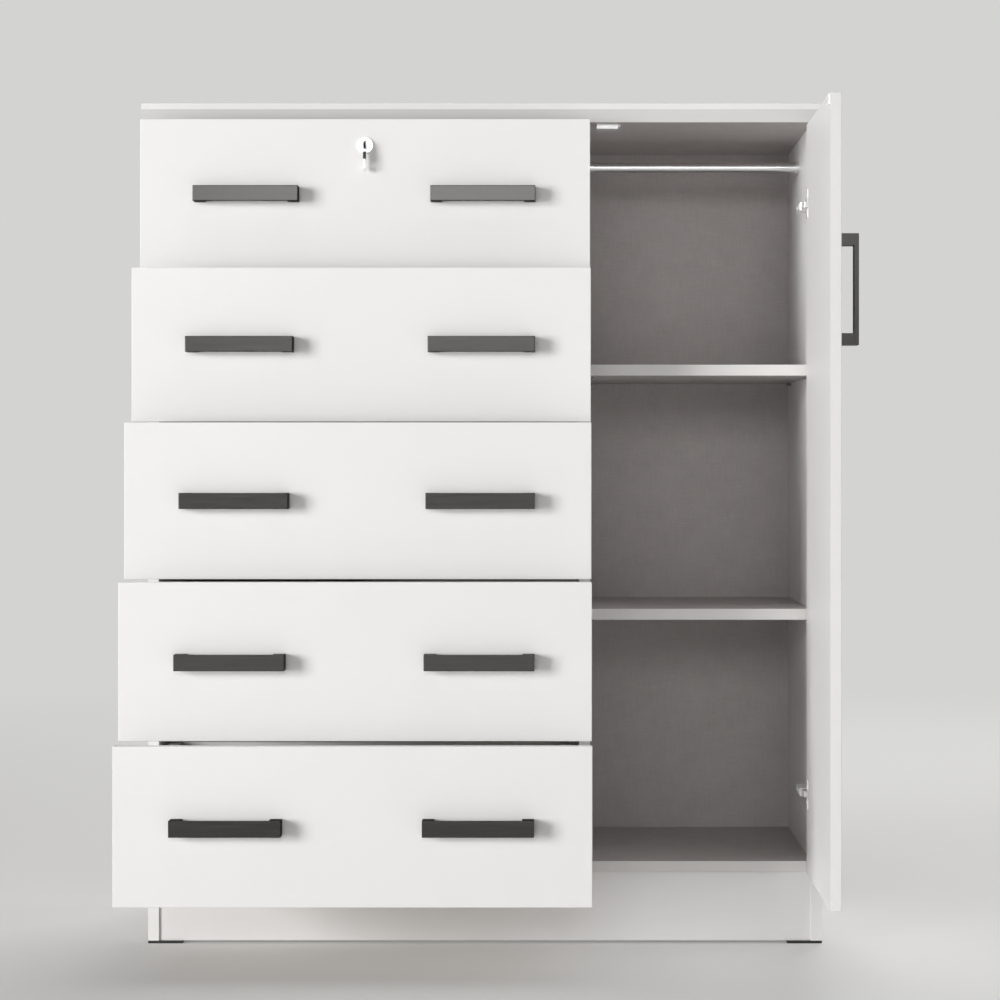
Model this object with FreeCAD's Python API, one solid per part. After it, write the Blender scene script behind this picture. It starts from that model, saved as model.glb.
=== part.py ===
import FreeCAD
import Part
import math
import os

# Chifforobe: five drawers beside a one-door wardrobe, built of melamine-faced board.
# Frame, in millimetres: X to the right, Y to the back, Z up. The origin lies on the floor, under
# the centre of the carcass, and the fronts face -Y. Drawers and door are made closed, then moved
# to the pose that the model rests in: each drawer drawn out by its own step, the door square open.

Vector = FreeCAD.Vector
UP = Vector(0, 0, 1)

# Boards
BOARD = 16.0  # sides, partition, bottom, plinth, shelves and drawer boxes
FRONT_BOARD = 15.0  # drawer fronts and door
BACK_BOARD = 3.0
TOP_BOARD = 27.5
DRAWER_BASE = 3.0
EDGE_ROUND = 1.0  # rounded edges of the fronts, the door and the top

# Carcass
CARCASS_WIDTH = 986.0
CARCASS_DEPTH = 380.0  # front edges of the sides to the rear face of the back
CARCASS_TOP = 1199.5  # floor to the underside of the top
BOTTOM_HEIGHT = 104.5  # floor to the underside of the bottom panel
DRAWER_BAY = 614.6  # clear width of the left bay
BACK_INSET = 1.0  # the back stops short of the sides' outer faces
PLINTH_RECESS = 3.0
GLIDE_HEIGHT = 4.0
GLIDE_WIDTH = 51.0
GLIDE_DEPTH = 48.0

# Top panel: overhangs the front and both ends, with its lower edge bevelled
TOP_FRONT_OVERHANG = 20.0
TOP_SIDE_OVERHANG = 7.0
TOP_BEVEL_HEIGHT = 18.6
TOP_BEVEL_DEPTH = 3.5

# Reveals round the overlay fronts
FRONT_GAP = 2.0  # between two fronts, and between a front and the carcass
TOP_REVEAL = 3.0  # between the fronts and the top panel
FRONT_DROP = 1.0  # the fronts end this far below the bottom panel's underside
PARTITION_REVEAL = 0.6  # strip of the partition's edge that the drawer fronts leave bare

# Wardrobe fittings
LOWER_SHELF_RISE = 353.0  # bottom panel to the lower shelf's underside
UPPER_SHELF_DROP = 368.5  # top panel to the upper shelf's underside
SHELF_SETBACK = 2.0
SHELF_PLAY = 0.5  # between a shelf's end and the board beside it
SUPPORT_FROM_EDGE = 45.0
SUPPORT_PIN_RADIUS = 2.5
SUPPORT_PIN_DEPTH = 9.0
SUPPORT_FLAG = (7.0, 12.0, 4.0)  # the flat tongue under the shelf, along X, Y and Z
RAIL_RADIUS = 8.0
RAIL_WALL = 1.2
RAIL_DROP = 42.5  # top panel to the rail's axis
RAIL_FROM_FRONT = 193.0
SOCKET_FLANGE_RADIUS = 10.0
SOCKET_FLANGE = 2.0
SOCKET_COLLAR = 5.0
SOCKET_WALL = 1.0

# Drawers, counted from the top
DRAWER_COUNT = 5
DRAWER_OUT = (58.0, 135.0, 199.0, 249.0, 297.0)  # how far each one stands open
BOX_LENGTH = 355.0
BOX_ABOVE_EDGE = 22.0  # front's lower edge to the box's lower edge
BOX_BELOW_EDGE = 30.0  # box's upper edge to the front's upper edge
BASE_HEIGHT = 10.0  # box's lower edge to the base board
GROOVE_DEPTH = 6.0

# Ball-bearing runners: three nested channels a side
SLIDE_THICKNESS = 12.7
SLIDE_HEIGHT = 45.0
SLIDE_LENGTH = 350.0
SLIDE_SETBACK = 3.0
SLIDE_STEEL = 1.2
MIDDLE_LENGTH = 330.0

# Bar pulls
PULL_LENGTH = 150.0
PULL_HEIGHT = 22.0
PULL_REACH = 25.5
PULL_BAR = 6.0
PULL_FOOT = 16.0
PULL_ROUND = 0.8
PULL_FROM_CENTRE = 169.5
DOOR_PULL_DROP = 261.5  # door's upper edge to the middle of its pull
DOOR_PULL_FROM_EDGE = 31.0

# Cup hinges. On the closed door the cup pin lies in the cup, and the arm pin stands inside the
# cabinet; a bent link joins them. All distances are taken with the door closed.
HINGE_FROM_END = 117.0  # door's end to the hinge's middle
CUP_RADIUS = 13.0
CUP_DEPTH = 12.5
CUP_WALL = 0.6
CUP_FROM_EDGE = 3.0
FLANGE_LENGTH = 43.0
FLANGE_WIDTH = 18.0
FLANGE_STEEL = 1.2
HINGE_PIN_RADIUS = 1.2
HINGE_EYE_RADIUS = 2.4
CUP_PIN_FROM_EDGE = 7.5
CUP_PIN_DEPTH = 5.0
ARM_PIN_FROM_SIDE = 13.0  # side's inner face to the arm pin
ARM_PIN_FROM_FRONT = 9.1  # carcass front to the arm pin
LINK_BEND_FROM_EDGE = 13.9
LINK_BEND_DEPTH = 10.3
LINK_STEEL = 2.2
LINK_HALF_HEIGHT = 3.9
LINK_SWING = 29.45  # degrees that the links turn while the door turns square
DOOR_OPEN = 90.0
ARM_LENGTH = 50.0
ARM_PROUD = 16.0
ARM_STEEL = 1.5
ARM_NOSE = 3.0
ARM_PLATE = (2.5, 30.0, 34.0)  # mounting plate on the side, along X, Y and Z
ARM_PLATE_FROM_FRONT = 24.0

# Magnetic catch under the top, beside the partition, and its plate on the door
CATCH_SIZE = (31.0, 20.0, 7.0)
CATCH_EAR = (4.0, 9.0, 3.0)
CATCH_FROM_PARTITION = 10.0
CATCH_PLATE_SIZE = (34.0, 1.5, 14.0)
CATCH_PLATE_DROP = 1.0  # plate's upper edge below the door's upper edge

# Cam lock in the top drawer
LOCK_DROP = 38.0  # front's upper edge to the lock's axis
ROSETTE_RADIUS = 12.0
ROSETTE_THICKNESS = 3.0
ROSETTE_BEVEL = 1.0
BARREL_RADIUS = 9.5
BARREL_LENGTH = 24.0
PLUG_RADIUS = 8.0
NUT_ACROSS_FLATS = 25.0
NUT_THICKNESS = 4.0
CAM_STEEL = 2.0
CAM_WIDTH = 14.0
CAM_HUB_RADIUS = 8.5
CAM_BITE = 7.0  # how far the turned cam reaches into the top panel
CAM_ROOM = 2.0  # free space round the cam in its mortise
TENON = 7.0
CAM_SCREW_RADIUS = 1.9
CAM_SCREW_LENGTH = 8.0
CAM_SCREW_HEAD_RADIUS = 4.5
CAM_SCREW_HEAD = 1.6
KEYWAY_WIDTH = 2.4
KEYWAY_HEIGHT = 13.0
KEYWAY_DEPTH = 19.0

# Folding key
BLADE_STEEL = 2.0
BLADE_HEIGHT = 9.0
BLADE_LENGTH = 18.0
KEY_PIN_OUT = 12.0  # drawer front's face to the bow's pin
KEY_PIN_RADIUS = 1.0
KEY_LUG_RADIUS = 3.2
KEY_LUG_STEEL = 1.2
BOW_THICKNESS = 3.8
BOW_WIDTH = 12.0
BOW_DROP = 37.0  # pin to the bow's lower end
BOW_HEAD_RADIUS = 4.2
BOW_NECK = 13.0  # pin to where the bow widens, below the rosette
BOW_HOLE_RADIUS = 3.5
BOW_HOLE_UP = 8.5  # bow's lower end to the hole's centre

# Clearances
RUN_GAP = 0.4  # between pieces that pass each other
PIN_PLAY = 0.05  # round a pin in its eye
FIT_PLAY = 0.1  # round a fixed piece in its bore
GROOVE_PLAY = 0.3

# Places worked out from the sizes above
LEFT = -CARCASS_WIDTH / 2
RIGHT = CARCASS_WIDTH / 2
FRONT = -CARCASS_DEPTH / 2
BACK = CARCASS_DEPTH / 2
INNER_BACK = BACK - BACK_BOARD
PARTITION_LEFT = LEFT + BOARD + DRAWER_BAY
PARTITION_RIGHT = PARTITION_LEFT + BOARD
WARDROBE_RIGHT = RIGHT - BOARD
BOTTOM_TOP = BOTTOM_HEIGHT + BOARD
TOTAL_HEIGHT = CARCASS_TOP + TOP_BOARD
SHELF_HEIGHTS = (BOTTOM_TOP + LOWER_SHELF_RISE, CARCASS_TOP - UPPER_SHELF_DROP)
RAIL_HEIGHT = CARCASS_TOP - RAIL_DROP
FRONT_INNER = FRONT - FRONT_GAP  # inner faces of the closed fronts
FRONT_OUTER = FRONT_INNER - FRONT_BOARD
FRONTS_LOW = BOTTOM_HEIGHT - FRONT_DROP
FRONTS_HIGH = CARCASS_TOP - TOP_REVEAL
DOOR_PULL_HEIGHT = FRONTS_HIGH - DOOR_PULL_DROP
FRONT_HEIGHT = (FRONTS_HIGH - FRONTS_LOW - (DRAWER_COUNT - 1) * FRONT_GAP) / DRAWER_COUNT
DRAWER_RIGHT = PARTITION_RIGHT - PARTITION_REVEAL
DOOR_LEFT = DRAWER_RIGHT + FRONT_GAP
BOX_LEFT = LEFT + BOARD + SLIDE_THICKNESS
BOX_RIGHT = PARTITION_LEFT - SLIDE_THICKNESS
BOX_BACK = FRONT_INNER + BOX_LENGTH
LOCK_X = (LEFT + DRAWER_RIGHT) / 2
LOCK_Z = FRONTS_HIGH - LOCK_DROP
HINGE_HEIGHTS = (FRONTS_LOW + HINGE_FROM_END, FRONTS_HIGH - HINGE_FROM_END)
CUP_X = RIGHT - CUP_FROM_EDGE - CUP_RADIUS
CUP_PIN = Vector(RIGHT - CUP_PIN_FROM_EDGE, FRONT_INNER - CUP_PIN_DEPTH, 0)
LINK_BEND = Vector(RIGHT - LINK_BEND_FROM_EDGE, FRONT_INNER - LINK_BEND_DEPTH, 0)
ARM_PIN = Vector(WARDROBE_RIGHT - ARM_PIN_FROM_SIDE, FRONT + ARM_PIN_FROM_FRONT, 0)


def box(x0, x1, y0, y1, z0, z1):
    """A block between two opposite corners."""
    return Part.makeBox(x1 - x0, y1 - y0, z1 - z0, Vector(x0, y0, z0))


def rod(radius, start, end):
    """A round bar from one point to another."""
    along = end - start
    return Part.makeCylinder(radius, along.Length, start, along)


def rounded(shape, radius, chosen):
    """The shape with the edges that chosen(bounding box) picks rounded."""
    return shape.makeFillet(radius, [e for e in shape.Edges if chosen(e.BoundBox)])


def group(shapes):
    return Part.makeCompound(list(shapes))


def front_panel(x0, x1, z0, z1):
    """An overlay front, with every edge that shows from outside rounded."""
    panel = box(x0, x1, FRONT_OUTER, FRONT_INNER, z0, z1)
    return rounded(panel, EDGE_ROUND, lambda b: b.YMin < FRONT_INNER - FRONT_BOARD / 2)


# ---- Carcass ----


def side(x0, x1):
    """A side board, from the glides to the top."""
    board = box(x0, x1, FRONT, INNER_BACK, GLIDE_HEIGHT, CARCASS_TOP)
    return rounded(board, EDGE_ROUND / 2, lambda b: b.YMax < FRONT + EDGE_ROUND and b.ZLength > BOARD)


def support_places():
    """Where the shelf supports' pins lie: each shelf's underside and two distances from the front."""
    front_pin = FRONT + SHELF_SETBACK + SUPPORT_FROM_EDGE
    back_pin = INNER_BACK - SUPPORT_FROM_EDGE
    return [(y, z - SUPPORT_FLAG[2] / 2) for z in SHELF_HEIGHTS for y in (front_pin, back_pin)]


def bored_for_supports(board, face, inwards):
    """A board with a blind hole in the given face for each shelf support."""
    depth = (SUPPORT_PIN_DEPTH + FIT_PLAY) * inwards
    for y, z in support_places():
        hole = rod(SUPPORT_PIN_RADIUS + FIT_PLAY, Vector(face, y, z), Vector(face + depth, y, z))
        board = board.cut(hole)
    return board


def side_left():
    return side(LEFT, LEFT + BOARD)


def side_right():
    return bored_for_supports(side(WARDROBE_RIGHT, RIGHT), WARDROBE_RIGHT, 1)


def partition():
    board = box(PARTITION_LEFT, PARTITION_RIGHT, FRONT, INNER_BACK, BOTTOM_TOP, CARCASS_TOP)
    return bored_for_supports(board, PARTITION_RIGHT, -1)


def bottom_panel():
    return box(LEFT + BOARD, WARDROBE_RIGHT, FRONT, INNER_BACK, BOTTOM_HEIGHT, BOTTOM_TOP)


def plinth_boards():
    """The recessed front plinth and the rail that matches it at the back."""
    front = FRONT + PLINTH_RECESS
    back = INNER_BACK - PLINTH_RECESS
    x0, x1 = LEFT + BOARD, WARDROBE_RIGHT
    return group(
        box(x0, x1, y, y + BOARD, GLIDE_HEIGHT, BOTTOM_HEIGHT) for y in (front, back - BOARD)
    )


def corner_glides():
    """Four plastic pads under the corners, bridging each side and the plinth."""
    pads = []
    for x in (LEFT, RIGHT - GLIDE_WIDTH):
        for y in (FRONT, INNER_BACK - GLIDE_DEPTH):
            pad = box(x, x + GLIDE_WIDTH, y, y + GLIDE_DEPTH, 0, GLIDE_HEIGHT)
            pads.append(rounded(pad, GLIDE_HEIGHT / 4, lambda b: b.ZMax < GLIDE_HEIGHT / 2))
    return group(pads)


def back_panel():
    return box(LEFT + BACK_INSET, RIGHT - BACK_INSET, INNER_BACK, BACK, BOTTOM_HEIGHT, CARCASS_TOP)


def cam_mortise():
    """The slot in the top's underside that the lock's cam turns up into with the drawer shut."""
    reach = math.hypot(cam_length(), CAM_WIDTH / 2)
    rise = CARCASS_TOP - LOCK_Z
    sweep = math.sqrt(reach**2 - rise**2)
    y = cam_front()
    return box(
        LOCK_X - sweep - CAM_ROOM,
        LOCK_X + CAM_WIDTH / 2 + CAM_ROOM,
        y - CAM_ROOM,
        y + CAM_STEEL + CAM_ROOM,
        CARCASS_TOP,
        LOCK_Z + reach + CAM_ROOM,
    )


def rectangle(x0, x1, y0, y1, z):
    corners = [(x0, y0), (x1, y0), (x1, y1), (x0, y1), (x0, y0)]
    return Part.makePolygon([Vector(x, y, z) for x, y in corners])


def top_panel():
    """The thick top: a square-edged upper part over a lower part that tapers in on three sides."""
    x0, x1 = LEFT - TOP_SIDE_OVERHANG, RIGHT + TOP_SIDE_OVERHANG
    y0 = FRONT - TOP_FRONT_OVERHANG
    waist = CARCASS_TOP + TOP_BEVEL_HEIGHT
    upper = box(x0, x1, y0, BACK, waist, TOTAL_HEIGHT)
    upper = rounded(upper, EDGE_ROUND, lambda b: b.ZMin > waist + EDGE_ROUND)
    in_by = TOP_BEVEL_DEPTH
    foot = rectangle(x0 + in_by, x1 - in_by, y0 + in_by, BACK, CARCASS_TOP)
    lower = Part.makeLoft([foot, rectangle(x0, x1, y0, BACK, waist)], True, True)
    return upper.fuse(lower).removeSplitter().cut(cam_mortise())


# ---- Wardrobe bay ----


def shelf(height):
    x0, x1 = PARTITION_RIGHT + SHELF_PLAY, WARDROBE_RIGHT - SHELF_PLAY
    return box(x0, x1, FRONT + SHELF_SETBACK, INNER_BACK, height, height + BOARD)


def shelves():
    return group(shelf(height) for height in SHELF_HEIGHTS)


def shelf_supports():
    """Plug-in supports: a pin in the board and a flat tongue that the shelf lies on."""
    out, along, thick = SUPPORT_FLAG
    supports = []
    for face, outwards in ((PARTITION_RIGHT, 1), (WARDROBE_RIGHT, -1)):
        for y, z in support_places():
            x0, x1 = sorted((face, face + out * outwards))
            tongue = box(x0, x1, y - along / 2, y + along / 2, z - thick / 2, z + thick / 2)
            tip = Vector(face - SUPPORT_PIN_DEPTH * outwards, y, z)
            pin = rod(SUPPORT_PIN_RADIUS, Vector(face, y, z), tip)
            supports.append(tongue.fuse(pin).removeSplitter())
    return group(supports)


def rail_line(x):
    return Vector(x, FRONT + RAIL_FROM_FRONT, RAIL_HEIGHT)


def hanging_rail():
    start, end = rail_line(PARTITION_RIGHT + SOCKET_FLANGE), rail_line(WARDROBE_RIGHT - SOCKET_FLANGE)
    return rod(RAIL_RADIUS, start, end).cut(rod(RAIL_RADIUS - RAIL_WALL, start, end))


def rail_sockets():
    """A round flange on each board, with a collar that holds the rail's end."""
    sockets = []
    for face, outwards in ((PARTITION_RIGHT, 1), (WARDROBE_RIGHT, -1)):
        floor = face + SOCKET_FLANGE * outwards
        mouth = floor + SOCKET_COLLAR * outwards
        bore = RAIL_RADIUS + FIT_PLAY
        flange = rod(SOCKET_FLANGE_RADIUS, rail_line(face), rail_line(floor))
        collar = rod(bore + SOCKET_WALL, rail_line(face), rail_line(mouth))
        socket = flange.fuse(collar).removeSplitter()
        sockets.append(socket.cut(rod(bore, rail_line(floor), rail_line(mouth))))
    return group(sockets)


def magnetic_catch():
    """The catch's housing, screwed up under the top through an ear at its end."""
    x0 = PARTITION_RIGHT + CATCH_FROM_PARTITION
    x1 = x0 + CATCH_SIZE[0]
    housing = box(x0, x1, FRONT, FRONT + CATCH_SIZE[1], CARCASS_TOP - CATCH_SIZE[2], CARCASS_TOP)
    y0 = FRONT + (CATCH_SIZE[1] - CATCH_EAR[1]) / 2
    ear = box(x1, x1 + CATCH_EAR[0], y0, y0 + CATCH_EAR[1], CARCASS_TOP - CATCH_EAR[2], CARCASS_TOP)
    return housing.fuse(ear).removeSplitter()


# ---- Runners ----


def channel(face, towards, web, reach, half_height, y0, length, z):
    """A lying C: a web at distance web from the face and two flanges that end at distance reach."""
    steel = SLIDE_STEEL if reach > web else -SLIDE_STEEL

    def slab(a, b, z0, z1):
        x0, x1 = sorted((face + a * towards, face + b * towards))
        return box(x0, x1, y0, y0 + length, z + z0, z + z1)

    back = slab(web, web + steel, -half_height, half_height)
    upper = slab(web, reach, half_height - SLIDE_STEEL, half_height)
    lower = slab(web, reach, -half_height, SLIDE_STEEL - half_height)
    return back.fuse([upper, lower]).removeSplitter()


# Half heights of the three channels, each running inside the one before
OUTER_HALF = SLIDE_HEIGHT / 2
MIDDLE_HALF = OUTER_HALF - SLIDE_STEEL - RUN_GAP
INNER_HALF = MIDDLE_HALF - SLIDE_STEEL - RUN_GAP
# Where their webs stand, and where their flanges end, from the carcass board
MIDDLE_WEB = SLIDE_STEEL + RUN_GAP
INNER_WEB = SLIDE_THICKNESS - SLIDE_STEEL
FLANGE_END = INNER_WEB - RUN_GAP
INNER_FLANGE_END = MIDDLE_WEB + SLIDE_STEEL + RUN_GAP
SLIDE_FRONT = FRONT + SLIDE_SETBACK
MIDDLE_FRONT = SLIDE_FRONT + (SLIDE_LENGTH - MIDDLE_LENGTH) / 2


def drawer_low(number):
    """Height of a drawer front's lower edge."""
    return FRONTS_LOW + (DRAWER_COUNT - number) * (FRONT_HEIGHT + FRONT_GAP)


def slide_height(number):
    low = drawer_low(number)
    return low + (BOX_ABOVE_EDGE + FRONT_HEIGHT - BOX_BELOW_EDGE) / 2


def pair_of_channels(number, web, reach, half_height, y0, length):
    """The same channel on the left side and, turned about, on the partition."""
    z = slide_height(number)
    hands = ((LEFT + BOARD, 1), (PARTITION_LEFT, -1))
    return [channel(face, way, web, reach, half_height, y0, length, z) for face, way in hands]


def slide_outer_rails():
    rails = []
    for number in range(1, DRAWER_COUNT + 1):
        rails += pair_of_channels(number, 0, FLANGE_END, OUTER_HALF, SLIDE_FRONT, SLIDE_LENGTH)
    return group(rails)


def middle_rails(number):
    return group(
        pair_of_channels(number, MIDDLE_WEB, FLANGE_END, MIDDLE_HALF, MIDDLE_FRONT, MIDDLE_LENGTH)
    )


def inner_rails(number):
    return group(
        pair_of_channels(
            number, SLIDE_THICKNESS, INNER_FLANGE_END, INNER_HALF, SLIDE_FRONT, SLIDE_LENGTH
        )
    )


# ---- Drawers ----


def base_board(number, play=0.0):
    """The drawer's base, let into grooves all round; with play, the grooves' own space."""
    z = drawer_low(number) + BOX_ABOVE_EDGE + BASE_HEIGHT
    x0, x1 = BOX_LEFT + BOARD - GROOVE_DEPTH, BOX_RIGHT - BOARD + GROOVE_DEPTH
    y0, y1 = FRONT_INNER - GROOVE_DEPTH, BOX_BACK - BOARD + GROOVE_DEPTH
    return box(x0 - play, x1 + play, y0 - play, y1 + play, z, z + DRAWER_BASE + play)


def drawer_front(number):
    low = drawer_low(number)
    panel = front_panel(LEFT, DRAWER_RIGHT, low, low + FRONT_HEIGHT)
    panel = panel.cut(base_board(number, GROOVE_PLAY))
    if number == 1:
        ends = Vector(LOCK_X, FRONT_OUTER - FRONT_BOARD, LOCK_Z), Vector(LOCK_X, FRONT_INNER, LOCK_Z)
        panel = panel.cut(rod(BARREL_RADIUS + FIT_PLAY, *ends))
    return panel


def box_span(number):
    """Heights of a drawer box's lower and upper edges."""
    low = drawer_low(number)
    return low + BOX_ABOVE_EDGE, low + FRONT_HEIGHT - BOX_BELOW_EDGE


def drawer_sides(number):
    z0, z1 = box_span(number)
    groove = base_board(number, GROOVE_PLAY)
    boards = ((BOX_LEFT, BOX_LEFT + BOARD), (BOX_RIGHT - BOARD, BOX_RIGHT))
    return group(box(x0, x1, FRONT_INNER, BOX_BACK, z0, z1).cut(groove) for x0, x1 in boards)


def drawer_back(number):
    z0, z1 = box_span(number)
    board = box(BOX_LEFT + BOARD, BOX_RIGHT - BOARD, BOX_BACK - BOARD, BOX_BACK, z0, z1)
    return board.cut(base_board(number, GROOVE_PLAY))


def bar_pull(centre, length_along):
    """A flat bar that returns to the front at both ends, its middle at the given point of the face."""
    half = PULL_LENGTH / 2
    bar = box(-half, half, -PULL_REACH, 0, -PULL_HEIGHT / 2, PULL_HEIGHT / 2)
    inner = half - PULL_FOOT
    finger_room = box(-inner, inner, PULL_BAR - PULL_REACH, 0, -PULL_HEIGHT, PULL_HEIGHT)
    pull = bar.cut(finger_room)
    pull = rounded(pull, PULL_ROUND, lambda b: b.YMax < PULL_BAR / 2 - PULL_REACH)
    if length_along == UP:
        pull.rotate(Vector(0, 0, 0), Vector(0, 1, 0), 90)
    pull.translate(centre)
    return pull


def drawer_handles(number):
    z = drawer_low(number) + FRONT_HEIGHT / 2
    middle = (LEFT + DRAWER_RIGHT) / 2
    places = (middle - PULL_FROM_CENTRE, middle + PULL_FROM_CENTRE)
    return group(bar_pull(Vector(x, FRONT_OUTER, z), Vector(1, 0, 0)) for x in places)


# ---- Lock and key ----


def lock_point(y):
    return Vector(LOCK_X, y, LOCK_Z)


BARREL_END = FRONT_OUTER + BARREL_LENGTH
ROSETTE_FACE = FRONT_OUTER - ROSETTE_THICKNESS


def cam_length():
    """Long enough to bite into the top panel when it points up."""
    return CARCASS_TOP - LOCK_Z + CAM_BITE


def cam_front():
    """Front face of the cam, behind the lock's barrel."""
    return BARREL_END + RUN_GAP


def hexagon(across_flats, y, thickness):
    corner = across_flats / math.sqrt(3)
    turns = [math.radians(60 * n) for n in range(7)]
    points = [Vector(LOCK_X + corner * math.cos(a), y, LOCK_Z + corner * math.sin(a)) for a in turns]
    return Part.Face(Part.makePolygon(points)).extrude(Vector(0, thickness, 0))


def lock_case():
    """The rosette with its threaded barrel, and the nut that clamps it to the drawer front."""
    rosette = rod(ROSETTE_RADIUS, lock_point(ROSETTE_FACE), lock_point(FRONT_OUTER))
    face_edge = ROSETTE_FACE + ROSETTE_THICKNESS / 4
    rosette = rounded(rosette, ROSETTE_BEVEL, lambda b: b.YMax < face_edge)
    barrel = rod(BARREL_RADIUS, lock_point(FRONT_OUTER), lock_point(BARREL_END))
    bore = rod(PLUG_RADIUS + PIN_PLAY, lock_point(ROSETTE_FACE), lock_point(BARREL_END))
    case = rosette.fuse(barrel).removeSplitter().cut(bore)
    nut = hexagon(NUT_ACROSS_FLATS, FRONT_INNER, NUT_THICKNESS)
    nut_bore = rod(BARREL_RADIUS + FIT_PLAY, lock_point(FRONT_INNER), lock_point(BARREL_END))
    return group([case, nut.cut(nut_bore)])


def lock_plug():
    """The turning plug: a keyway at the front, and a square tenon that the cam sits on."""
    y = cam_front()
    plug = rod(PLUG_RADIUS, lock_point(ROSETTE_FACE), lock_point(y))
    half = TENON / 2
    tenon = box(LOCK_X - half, LOCK_X + half, y, y + CAM_STEEL, LOCK_Z - half, LOCK_Z + half)
    plug = plug.fuse(tenon).removeSplitter()
    wide, high = KEYWAY_WIDTH / 2, KEYWAY_HEIGHT / 2
    x0, x1 = LOCK_X - wide, LOCK_X + wide
    keyway = box(x0, x1, ROSETTE_FACE, ROSETTE_FACE + KEYWAY_DEPTH, LOCK_Z - high, LOCK_Z + high)
    tenon_end = y + CAM_STEEL
    screw_hole = rod(
        CAM_SCREW_RADIUS + FIT_PLAY, lock_point(tenon_end - CAM_SCREW_LENGTH), lock_point(tenon_end)
    )
    return plug.cut(keyway).cut(screw_hole)


def lock_cam():
    """The cam, pointing sideways as it does unlocked, and the screw that holds it on."""
    y = cam_front()
    x0 = LOCK_X - cam_length()
    blade = box(x0, LOCK_X, y, y + CAM_STEEL, LOCK_Z - CAM_WIDTH / 2, LOCK_Z + CAM_WIDTH / 2)
    hub = rod(CAM_HUB_RADIUS, lock_point(y), lock_point(y + CAM_STEEL))
    half = TENON / 2 + FIT_PLAY
    square = box(LOCK_X - half, LOCK_X + half, y, y + CAM_STEEL, LOCK_Z - half, LOCK_Z + half)
    cam = blade.fuse(hub).removeSplitter().cut(square)
    back = y + CAM_STEEL
    head = rod(CAM_SCREW_HEAD_RADIUS, lock_point(back), lock_point(back + CAM_SCREW_HEAD))
    shank = rod(CAM_SCREW_RADIUS, lock_point(back - CAM_SCREW_LENGTH), lock_point(back))
    return group([cam, head.fuse(shank).removeSplitter()])


KEY_PIN = Vector(LOCK_X, FRONT_OUTER - KEY_PIN_OUT, LOCK_Z)


def key_blade():
    """The blade in its keyway, ending outside in a lug with an eye for the bow's pin."""
    half, high = BLADE_STEEL / 2, BLADE_HEIGHT / 2
    y_tip = ROSETTE_FACE + BLADE_LENGTH
    blade = box(LOCK_X - half, LOCK_X + half, ROSETTE_FACE, y_tip, LOCK_Z - high, LOCK_Z + high)
    thin = KEY_LUG_STEEL / 2
    x0, x1 = LOCK_X - thin, LOCK_X + thin
    neck = box(x0, x1, KEY_PIN.y, ROSETTE_FACE, LOCK_Z - KEY_LUG_RADIUS, LOCK_Z + KEY_LUG_RADIUS)
    aside = Vector(thin, 0, 0)
    lug = rod(KEY_LUG_RADIUS, KEY_PIN - aside, KEY_PIN + aside)
    eye = rod(KEY_PIN_RADIUS + PIN_PLAY, KEY_PIN - aside, KEY_PIN + aside)
    return blade.fuse([neck, lug]).removeSplitter().cut(eye)


def key_bow():
    """The bow, hanging from its pin: a forked head, a neck and a flat grip with a hole."""
    half = BOW_THICKNESS / 2
    aside = Vector(half, 0, 0)
    x0, x1 = LOCK_X - half, LOCK_X + half
    pin_y, pin_z = KEY_PIN.y, KEY_PIN.z
    head = rod(BOW_HEAD_RADIUS, KEY_PIN - aside, KEY_PIN + aside)
    neck = box(x0, x1, pin_y - BOW_HEAD_RADIUS, pin_y + BOW_HEAD_RADIUS, pin_z - BOW_NECK, pin_z)
    wide = BOW_WIDTH / 2
    grip = box(x0, x1, pin_y - wide, pin_y + wide, pin_z - BOW_DROP, pin_z - BOW_NECK)
    corner = BOW_WIDTH / 4
    grip = rounded(grip, corner, lambda b: b.XLength > half and b.YLength < half)
    hole_at = KEY_PIN - UP * (BOW_DROP - BOW_HOLE_UP)
    hole = rod(BOW_HOLE_RADIUS, hole_at - aside, hole_at + aside)
    bow = head.fuse([neck, grip]).removeSplitter().cut(hole)
    room = KEY_LUG_RADIUS + RUN_GAP
    thin = KEY_LUG_STEEL / 2 + RUN_GAP
    fork = box(LOCK_X - thin, LOCK_X + thin, pin_y - wide, pin_y + wide, pin_z - room, pin_z + wide)
    return bow.cut(fork).fuse(rod(KEY_PIN_RADIUS, KEY_PIN - aside, KEY_PIN + aside)).removeSplitter()


# ---- Door and hinges ----


def at_height(point, z):
    return Vector(point.x, point.y, z)


def door_panel():
    panel = front_panel(DOOR_LEFT, RIGHT, FRONTS_LOW, FRONTS_HIGH)
    for z in HINGE_HEIGHTS:
        mouth = Vector(CUP_X, FRONT_INNER, z)
        floor = Vector(CUP_X, FRONT_INNER - CUP_DEPTH - FIT_PLAY, z)
        panel = panel.cut(rod(CUP_RADIUS + FIT_PLAY, floor, mouth))
    return panel


def door_handle():
    return bar_pull(Vector(DOOR_LEFT + DOOR_PULL_FROM_EDGE, FRONT_OUTER, DOOR_PULL_HEIGHT), UP)


def catch_plate():
    wide, thick, high = CATCH_PLATE_SIZE
    x0 = PARTITION_RIGHT + CATCH_FROM_PARTITION + (CATCH_SIZE[0] - wide) / 2
    z1 = FRONTS_HIGH - CATCH_PLATE_DROP
    return box(x0, x0 + wide, FRONT_INNER, FRONT_INNER + thick, z1 - high, z1)


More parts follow.
